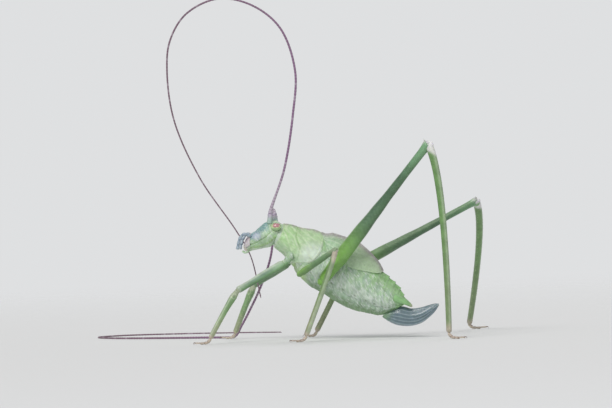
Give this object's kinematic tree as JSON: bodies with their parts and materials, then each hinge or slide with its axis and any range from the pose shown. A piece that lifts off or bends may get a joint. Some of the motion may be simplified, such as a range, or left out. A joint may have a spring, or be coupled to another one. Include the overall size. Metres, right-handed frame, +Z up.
{
  "type": "long-horned grasshopper",
  "caption": "Life-size standing bush katydid nymph with wing pads, a sickle-shaped egg-laying blade, long hind legs and hair-fine looped feelers.",
  "frame": {"origin": "middle of the animal's footprint box, on the floor it stands on", "axes": "+Z up, -Y towards the head, +X towards the animal's left side"},
  "size_m": [0.0382, 0.0438, 0.0368],
  "materials": {
    "face": "soft satin cuticle, blue-green on the face and pale green on the cheek",
    "mouth": "waxy, pinkish white",
    "eye": "glossy, rose above and green below",
    "palp": "clear, pale blue-grey",
    "scape": "waxy, whitish green",
    "feeler": "satin, purple-brown with pale rings",
    "pronotum": "satin, pale green with fine mottling",
    "thorax": "satin, whitish green",
    "pad": "satin, grey-green with a pinkish edge and fine dark specks",
    "abdomen": "satin, green back and mottled whitish flank",
    "cercus": "satin green",
    "ovipositor": "clear, grey-blue with pale ribs",
    "femur": "satin green, pale along the upper edge",
    "tibia": "satin green, whitish at the knee",
    "foot": "satin, pinkish"
  },
  "bodies": {
    "root": {"abdomen": "abdomen", "abdomen_tip": "abdomen", "antenna_left_1": "feeler", "antenna_left_2": "feeler", "antenna_left_3": "feeler", "antenna_left_4": "feeler", "antenna_left_5": "feeler", "antenna_left_6": "feeler", "antenna_left_7": "feeler", "antenna_left_scape": "scape", "antenna_right_1": "feeler", "antenna_right_2": "feeler", "antenna_right_3": "feeler", "antenna_right_4": "feeler", "antenna_right_5": "feeler", "antenna_right_6": "feeler", "antenna_right_scape": "scape", "cercus_left": "cercus", "cercus_right": "cercus", "eye_left": "eye", "eye_right": "eye", "fore_left_coxa": "thorax", "fore_left_femur": "femur", "fore_left_tarsus": "foot", "fore_left_tibia": "tibia", "fore_right_coxa": "thorax", "fore_right_femur": "femur", "fore_right_tarsus": "foot", "fore_right_tibia": "tibia", "head": "face", "hind_left_coxa": "thorax", "hind_left_femur": "femur", "hind_left_tarsus": "foot", "hind_left_tibia": "tibia", "hind_right_coxa": "thorax", "hind_right_femur": "femur", "hind_right_tarsus": "foot", "hind_right_tibia": "tibia", "mid_left_coxa": "thorax", "mid_left_femur": "femur", "mid_left_tarsus": "foot", "mid_left_tibia": "tibia", "mid_right_coxa": "thorax", "mid_right_femur": "femur", "mid_right_tarsus": "foot", "mid_right_tibia": "tibia", "mouthparts": "mouth", "ovipositor": "ovipositor", "palp_left": "palp", "palp_right": "palp", "pronotum": "pronotum", "thorax": "thorax", "wing_pad_left": "pad", "wing_pad_right": "pad"}
  },
  "joints": []
}
